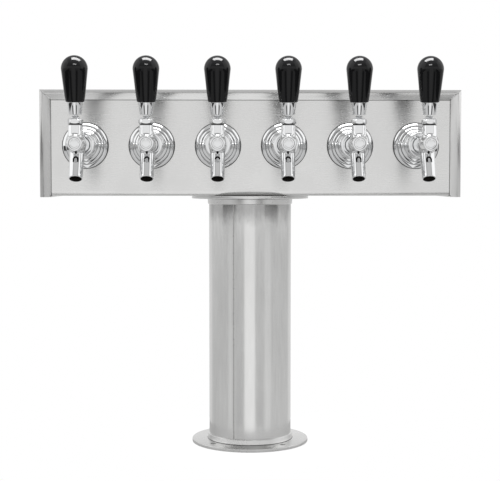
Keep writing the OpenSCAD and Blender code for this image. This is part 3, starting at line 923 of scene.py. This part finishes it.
# %% Column tube
SEAM = math.radians(-90 - 24)
TUBE_R, TUBE_WALL = 50.8, 1.5
SEAM_DEPTH, SEAM_WIDTH, WELD_WIDTH = 0.28, 0.35, 0.55
even_turns = {2 * math.pi * k / 180 - math.pi for k in range(180)}
seam_turns = {SEAM + d / TUBE_R for d in (-0.8, -0.5, -0.25, 0, 0.25, 0.5, 0.8)}
turns = sorted(even_turns | seam_turns)
depth = [SEAM_DEPTH * math.exp(-((a - SEAM) * TUBE_R / SEAM_WIDTH) ** 2) for a in turns]
outer = [((TUBE_R - d) * math.cos(a), (TUBE_R - d) * math.sin(a)) for a, d in zip(turns, depth)]
tube = prism("column_shell", outer, tube_low.z / MM, tube_high.z / MM)
cut(tube, [rod(TUBE_R - TUBE_WALL, tube_low.z / MM - 1, tube_high.z / MM + 1, segments=180)])
hand_over(tube, "column_tube", "tower", 20)


def on_weld(face):
    """True for a face beside the seam."""
    return abs(math.atan2(face.center.y, face.center.x) - SEAM) * TUBE_R < WELD_WIDTH


second_finish(tube, weld_metal, on_weld)
print("column tube", len(tube.data.polygons), "faces")


# %% Four bolt holes, the same in both flanges and the tray
BOLT_CIRCLE_R, BOLT_HOLE_R, FIRST_BOLT = 60, 3.4, 45 - 4.7


def bolt_places():
    """A matrix for each bolt's axis."""
    turns = [Matrix.Rotation(math.radians(FIRST_BOLT + 90 * k), 4, "Z") for k in range(4)]
    return [turn @ at((BOLT_CIRCLE_R, 0, 0)) for turn in turns]


# %% Flanges
FLANGE_R, FLANGE_T, COLLAR_H = 72, 4, 11
FILLET_IN, FILLET_OUT, FILLET_TOP = 51.2 * MM, 53.4 * MM, 0.9


def flange(name, node, base, way):
    """A flange whose flat face lies at height base, with its collar pointing up (1) or down (-1)."""
    outline = rounded([
        (49.3, 0, 0.2), (FLANGE_R, 0, 0.5), (FLANGE_R, FLANGE_T, 0.9), (52.6, FLANGE_T, 1.4),
        (52.1, 10.2, 0.6), (51.2, COLLAR_H, 0.3), (50.87, COLLAR_H, 0.1), (50.87, FLANGE_T, 0),
        (49.3, FLANGE_T, 0)], 0.2, 4, closed=True)
    disc = lathe(name, [(r, base + way * z) for r, z in outline], 180, closed=True)
    tools = []
    for place in bolt_places():
        tools.append(rod(BOLT_HOLE_R, base - 6, base + 6, place, segments=48))
        tools.append(rod(BOLT_HOLE_R, base + way * 3.6, base + way * 4.1, place, top=3.95, segments=48))
    hand_over(cut(disc, tools), node, "tower", 30)
    disc.data.materials[0] = brushed_flange

    def on_fillet(face):
        """True for a face of the fillet at the collar's foot."""
        up = way * (face.center.z - base * MM) / MM
        out = math.hypot(face.center.x, face.center.y)
        return FLANGE_T - 0.1 < up < FLANGE_T + FILLET_TOP and FILLET_IN < out < FILLET_OUT

    # Painted shade: the fillet at the collar's foot takes the darker metal.
    second_finish(disc, painted_shade, on_fillet)
    return disc


base_flange = flange("base_disc", "base_flange", 0, 1)
neck_flange = flange("neck_disc", "neck_flange", head_low.z / MM + 1.5, -1)

# %% [markdown]
# ## The head
# The head is folded from sheet, so it has soft bends but sharp sheared edges. The tray is one
# L-shaped fold: the front panel and the floor. The hood is the top and ends, with lips that lap
# the panel and open mitres at the corners. Both are cut from simple extrusions, and a very
# narrow bevel on the sheared edges gives them their bright line. The end lips take a grain of
# their own, upright, with the left lip painted darker as painted shade and the right lighter as
# painted light. A dark stripe in the panel's steel is painted shade under the lips, mixed with
# dirt in the joint.

# %% Head sizes
SHEET, BEND = 1.5, 6.0
SIDE_LIP, TOP_LIP = 13.8, 12.2
half_w, half_d = head_high.x / MM, head_high.y / MM
floor_z, top_z = tray_low.z / MM, head_high.z / MM
face_y = -panel_y / MM
lip_z = top_z - TOP_LIP
tray_w, tray_top = tray_high.x / MM, tray_high.z / MM
window_w = half_w - SIDE_LIP
print("head half width", round(half_w, 2), "half depth", round(half_d, 2), "floor", round(floor_z, 2))

# %% Tray
SHADE_AND_DIRT_ACROSS, SHADE_AND_DIRT_UP = 1.1 * MM, 0.9 * MM


def bend(r, angles):
    """The fold under the panel at one radius, by angles in degrees from straight down."""
    turns = [math.radians(a) for a in angles]
    return [(-face_y + BEND - r * math.sin(a), floor_z + BEND - r * math.cos(a)) for a in turns]


tray_sides = [(face_y, floor_z)] + bend(BEND, range(0, 91, 6))
tray_sides += [(-face_y, tray_top), (SHEET - face_y, tray_top)]
tray_sides += bend(BEND - SHEET, range(90, -1, -6)) + [(face_y, floor_z + SHEET)]
tray = prism("front_tray", tray_sides, -tray_w, tray_w, "X")
SHANK_HOLE_R, NECK_HOLE_R = 11.4, 44
tools = [rod(SHANK_HOLE_R, -4, 4, faucet_frame(i)) for i in FAUCETS]
tools.append(rod(NECK_HOLE_R, floor_z - 2, floor_z + 4, segments=128))
tools += [rod(BOLT_HOLE_R, floor_z - 2, floor_z + 4, place, segments=48) for place in bolt_places()]
cut(tray, tools)
soften(tray, 0.18, 50, 1)
hand_over(tray, "head_tray", "tower", 25)
# Stripes of painted shade under the lips, mixed with dirt in the joints, darken the panel's steel.
shade_and_dirt = (("Z", False, lip_z * MM, SHADE_AND_DIRT_ACROSS), ("X", True, window_w * MM, SHADE_AND_DIRT_UP))
tray.data.materials[0] = brushed("brushed_tray", *HEAD_GRAIN, lines=shade_and_dirt)
print("tray", len(tray.data.polygons), "faces")


# %% Hood blank: two rounded extrusions cross, and a smaller pair hollows them
def corner(x, y, r, start):
    """A quarter circle about (x, y), from an angle in degrees."""
    turns = [math.radians(start + a) for a in range(0, 91, 6)]
    return [(x + r * math.cos(a), y + r * math.sin(a)) for a in turns]


def head_block(t):
    """The head's whole outside, made smaller by t on every side."""
    w, d, low, top, r = half_w - t, half_d - t, floor_z - SHEET + t, top_z - t, BEND - t
    plan = corner(w - r, d - r, r, 0) + corner(r - w, d - r, r, 90)
    plan += corner(r - w, r - d, r, 180) + corner(w - r, r - d, r, 270)
    side = [(-d, low), (d, low)] + corner(d - r, top - r, r, 0) + corner(r - d, top - r, r, 90)
    return keep_common(prism("hood", plan, low, top), prism("side", side, -w - 1, w + 1, "X"))


hood = head_block(0)
cut(hood, [head_block(SHEET)])
print("hood blank", len(hood.data.polygons), "faces")


# %% Cut the windows, mitres and underside of the hood
NOTCH, MITRE_HALF, MITRE_LENGTH, CUT_SIDE = 2.1, 0.45, 24, SHEET + 0.05


def turned_block(low, high, place, turn):
    """A cutting box at a place, turned about the head's depth by degrees."""
    return block(low, high, at(place) @ Matrix.Rotation(math.radians(turn), 4, "Y"))


tools = [block((-window_w, -2 * half_d, floor_z - 2 * SHEET), (window_w, 2 * half_d, floor_z + 0.1))]
for side in (-1, 1):
    out, back = sorted((side * (face_y + 3), side * (face_y - 1)))
    tools.append(block((-window_w, out, floor_z - 3), (window_w, back, lip_z)))
    for end in (-1, 1):
        foot_corner = (end * window_w, side * face_y, floor_z - SHEET)
        tools.append(turned_block((-NOTCH, -4, -NOTCH), (NOTCH, 4, NOTCH), foot_corner, 45))
        near, far = sorted((-end, end * MITRE_LENGTH))
        tools.append(turned_block((near, -CUT_SIDE, -MITRE_HALF), (far, CUT_SIDE, MITRE_HALF),
                                  (end * window_w, side * half_d, lip_z), -end * 45))
cut(hood, tools)
print("hood cut", len(hood.data.polygons), "faces")

# %% Screw places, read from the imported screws' boxes
PAN_R, SUNK_R, SCREW_HOLE_R = 3.6, 3.4, 2.0
SIDE_SCREWS_UP, TOP_SCREWS_X, TOP_SCREWS_DOWN = (25, 95), (-150, 0, 150), 9


def screw_span(node, head_r):
    """The lowest and highest screw axis of a set, in millimetres."""
    low, high = (Vector(c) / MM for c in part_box(node))
    inset = Vector((head_r, head_r, head_r))
    return low + inset, high - inset


rear_low, rear_high = screw_span("rear_cover_screws", PAN_R)
under_low, under_high = screw_span("hood_screws", SUNK_R)
rear_places = [(x, half_d, floor_z + up) for x in (rear_low.x, rear_high.x) for up in SIDE_SCREWS_UP]
rear_places += [(x, half_d, top_z - TOP_SCREWS_DOWN) for x in TOP_SCREWS_X]
under_places = [(x, y, floor_z - SHEET) for x in (under_low.x, under_high.x)
                for y in (under_low.y, under_high.y)]
print("screws", len(rear_places), "behind,", len(under_places), "below")

# %% Rear cover, and screw holes in hood, cover and tray
cover_low, cover_high = (Vector(c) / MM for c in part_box("rear_cover"))
cover = block(cover_low, cover_high)
cover.name = "rear_plate"
for sheet_piece in (hood, cover):
    cut(sheet_piece, [rod(SCREW_HOLE_R, -5, 2, at(p) @ STAND, segments=32) for p in rear_places])
for sheet_piece in (hood, tray):
    cut(sheet_piece, [rod(SCREW_HOLE_R, -2, 4, at(p), segments=32) for p in under_places])
cut(hood, [rod(3.55, -0.05, 1.45, at(p), top=SCREW_HOLE_R, segments=48) for p in under_places])
hood.name = "head_cover"
soften(hood, 0.22, 50, 2)
soften(cover, 0.22, 50, 1)
hand_over(hood, "head_hood", "tower", 25)
hand_over(cover, "rear_cover", "tower", 25)


def on_end_lip(face):
    """True for a front or back face outside the window and below the mitre."""
    past_window = abs(face.center.x) - window_w * MM
    return past_window > 0 and abs(face.normal.y) > 0.5 and face.center.z < lip_z * MM + past_window


# The end lips take the painted shade on the left and the painted light on the right.
second_finish(hood, brushed_left_shaded, lambda face: face.center.x < 0 and on_end_lip(face))
second_finish(hood, brushed_right_lit, lambda face: face.center.x > 0 and on_end_lip(face))
smooth(tray, 25)
print("hood", len(hood.data.polygons), "faces")

# %% [markdown]
# ## Cover screws
# Seven pan-head screws hold the rear cover, and four sunk ones hold the hood from below. One screw
# of each kind is turned on the lathe and gets a cross recess. A node tree then stands a copy on
# every marked place, with one turn for the set.

# %% Two screws: one with a pan head, one with a sunk head
CROSS_REACH, CROSS_HALF = 1.9, 0.42


def cross_cut(screw, top, low):
    """Cuts a cross recess into a screw's head."""
    arms = [(CROSS_REACH, CROSS_HALF), (CROSS_HALF, CROSS_REACH)]
    cut(screw, [block((-x, -y, low), (x, y, top)) for x, y in arms])
    smooth(screw, 35)
    return screw


pan_outline = rounded([
    (0, -6), (1.5, -6, 0.3), (1.9, -5.4, 0.2), (1.9, 0.05, 0), (PAN_R, 0.05, 0.2), (PAN_R, 1.0, 1.2),
    (2.2, 2.05, 2.0), (0, 2.05)], 0.2, 5)
sunk_outline = rounded([
    (0, -8), (1.6, -8, 0.2), (1.9, -7.6, 0.2), (1.9, -1.45, 0), (SUNK_R, -0.1, 0.1), (3.35, 0, 0),
    (0, 0)], 0.1, 3)
pan_screw = cross_cut(lathe("pan_screw", pan_outline, 48), 3, 1.0)
sunk_screw = cross_cut(lathe("sunk_screw", sunk_outline, 48), 1, -1.0)


# %% A tree that stands a screw on every point
def stand_tree():
    """Stands one piece on every point of the carrier, all turned the same way."""
    tree, entry = started("screws_on_places", Places="Geometry", Screw="Object", Turn="Vector",
                          Finish="Material")
    source = add(tree, "GeometryNodeObjectInfo")
    turn = add(tree, "FunctionNodeEulerToRotation")
    copies = add(tree, "GeometryNodeInstanceOnPoints")
    link(tree, entry, "Screw", source, "Object")
    link(tree, entry, "Turn", turn, "Euler")
    link(tree, entry, "Places", copies, "Points")
    link(tree, source, "Geometry", copies, "Instance")
    link(tree, turn, "Rotation", copies, "Rotation")
    return ended(tree, entry, copies)


screws_on_places = stand_tree()


def screws_at(places, node, turn, screw):
    """One set of screws as a single piece."""
    mesh = bpy.data.meshes.new(node)
    mesh.from_pydata([[c * MM for c in place] for place in places], [], [])
    carrier = new_object(f"{node}_set", mesh)
    row = grown(carrier, screws_on_places, Screw=screw, Turn=turn, Finish=plain_steel)
    bpy.data.objects.remove(screw)
    return hand_over(row, node, "tower", 35)


rear_set = screws_at(rear_places, "rear_cover_screws", (math.radians(-90), 0, 0), pan_screw)
under_set = screws_at(under_places, "hood_screws", (math.radians(180), 0, 0), sunk_screw)
print("screw sets", len(rear_set.data.polygons), len(under_set.data.polygons))

# %% [markdown]
# ## Floor and light
# Chrome and brushed steel show what stands round them, so the surround is built like a studio. It
# glows evenly, with a brighter band in front at the height of the head and bright walls to the
# left and right. Below the band, a bright strip between two dark gaps draws the upright light and
# dark stripes on the column. Two dark cards beside the head draw the dark ends of the rings on
# the bells. Two lamps light only the knobs, and a weaker one spares the sheet and the column. The
# camera itself sees plain white.

# %% Floor: a pale light table
FLOOR_R, FLOOR_LEVEL = 150, -0.4
FLOOR_GLOW, EXTRA_SEEN_GLOW = 0.22, 0.55
floor = lathe("floor", [(0, FLOOR_LEVEL), (FLOOR_R, FLOOR_LEVEL)], 128)
floor_paint = speckled("floor_paint", (0.44, 0.44, 0.44), 0.0, 0.8, 3, 0.05)
floor_shader, floor_tree = shader_of(floor_paint), floor_paint.node_tree
floor_shader.inputs["Specular IOR Level"].default_value = 0.1
floor_shader.inputs["Emission Color"].default_value = (1, 1, 1, 1)
seen_floor = add(floor_tree, "ShaderNodeLightPath")
glow = blend_values(floor_tree, seen_floor.outputs["Is Camera Ray"], EXTRA_SEEN_GLOW)
glow = blend_values(floor_tree, glow, FLOOR_GLOW, "ADD")
floor_tree.links.new(glow, floor_shader.inputs["Emission Strength"])
floor.data.materials.append(floor_paint)
floor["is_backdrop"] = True
print("floor radius", FLOOR_R, "mm")

# %% The studio's surround
world = bpy.data.worlds.new("surround")
bpy.context.scene.world = world
world.use_nodes = True
sky = world.node_tree
back_light = sky.nodes["Background"]


def between(value, low, high, soft):
    """A mask that is 1 between low and high, with soft edges."""
    rise = mapped(sky, value, low - soft, low + soft, 0, 1, "SMOOTHSTEP")
    fall = mapped(sky, value, high - soft, high + soft, 1, 0, "SMOOTHSTEP")
    return blend_values(sky, rise, fall)


way = add(sky, "ShaderNodeSeparateXYZ")
sky.links.new(add(sky, "ShaderNodeTexCoord").outputs["Generated"], way.inputs["Vector"])
round_way = blend_values(sky, way.outputs["X"], blend_values(sky, way.outputs["Y"], -1.0), "ARCTAN2")
height = way.outputs["Z"]

# Each screen: where it starts and ends round the table (degrees, 0 in front, 90 to the right), its
# lower and upper edge as heights on a unit sphere, its soft edge and its brightness.
SCREENS = [
    (-180, 180, -1.2, 1.2, 0.10, 0.60),
    (-58, 56, -0.02, 0.30, 0.03, 0.34),
    (-17, 13, -1.2, -0.03, 0.02, 0.36),
    (-64, -53, -0.60, -0.02, 0.05, 0.12),
    (40, 60, -0.60, -0.02, 0.05, 0.13),
    (-180, -135, -0.60, -0.02, 0.10, 0.14),
    (135, 180, -0.60, -0.02, 0.10, 0.14),
    (-58, 56, 0.30, 0.72, 0.05, -0.20),
    (-125, -62, 0.0, 0.75, 0.05, 0.60),
    (62, 125, 0.0, 0.75, 0.05, 0.60),
    (-180, -140, 0.0, 0.35, 0.05, 0.40),
    (140, 180, 0.0, 0.35, 0.05, 0.40),
    (20, 36, -1.0, -0.25, 0.02, -0.52),
    (-40, -24, -1.0, -0.25, 0.02, -0.52),
]
total = None
for start, end, low, high, soft, strength in SCREENS:
    mask = between(height, low, high, soft)
    if end - start < 360:
        sector = between(round_way, math.radians(start), math.radians(end), soft)
        mask = blend_values(sky, mask, sector)
    layer = blend_values(sky, mask, strength)
    total = layer if total is None else blend_values(sky, total, layer, "ADD")
path = add(sky, "ShaderNodeLightPath")
seen = add(sky, "ShaderNodeMix", data_type="FLOAT")
sky.links.new(path.outputs["Is Camera Ray"], seen.inputs["Factor"])
sky.links.new(total, seen.inputs[2])
seen.inputs[3].default_value = 1.0
back_light.inputs["Color"].default_value = (1, 1, 1, 1)
sky.links.new(seen.outputs[0], back_light.inputs["Strength"])
print("screens", len(SCREENS))

# %% Dark cards beside the head, at the height of the faucets
CARD_OUT, CARD_T = 620, 3
CARD_FRONT, CARD_BACK, CARD_LOW, CARD_TOP = -760, -110, 276, 372
card_black = speckled("card_black", (0.02, 0.02, 0.02), 0.0, 0.8, 40, 0.05)
for side in (-1, 1):
    near, far = sorted((side * CARD_OUT, side * (CARD_OUT + CARD_T)))
    card = block((near, CARD_FRONT, CARD_LOW), (far, CARD_BACK, CARD_TOP))
    card.name = "card_left" if side < 0 else "card_right"
    card.data.materials.append(card_black)
    card.visible_camera = False
    card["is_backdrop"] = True
print("cards from", CARD_LOW, "to", CARD_TOP, "mm up")


# %% Lamps
def softbox(name, place, target, size, power):
    """A rectangular lamp at a place, turned to a target."""
    light = bpy.data.lights.new(name, "AREA")
    light.shape = "RECTANGLE"
    light.size, light.size_y = size
    light.energy = power
    lamp = bpy.data.objects.new(name, light)
    bpy.context.scene.collection.objects.link(lamp)
    lamp.location = place
    lamp.rotation_mode = "QUATERNION"
    lamp.rotation_quaternion = (Vector(target) - Vector(place)).to_track_quat("-Z", "Y")
    return lamp


def light_only(lamp, name, pieces, state="INCLUDE"):
    """Lets a lamp light only some pieces, or all but them."""
    group = bpy.data.collections.new(name)
    for piece in pieces:
        group.objects.link(piece)
    for entry in group.collection_objects:
        entry.light_linking.link_state = state
    lamp.light_linking.receiver_collection = group


overhead = softbox("overhead", (0.0, -0.12, 1.40), (0, -0.12, 0.45), (0.95, 0.46), 32)
small_front = softbox("small_front", (0.0, -1.25, 1.22), (0, -0.15, 0.42), (0.62, 0.20), 7)
glint = softbox("glint", (0.0, -0.25, 1.40), (0, -0.12, 0.40), (0.80, 0.32), 4.5)
light_only(overhead, "knobs_overhead", knobs)
light_only(small_front, "knobs_front", knobs)
light_only(glint, "shaded_from_glint", (hood, tray, cover, tube, base_flange, neck_flange), "EXCLUDE")
bpy.context.scene.view_settings.view_transform = "Standard"

low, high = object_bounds()
print("visual box", [round(v, 4) for v in (*low, *high)])
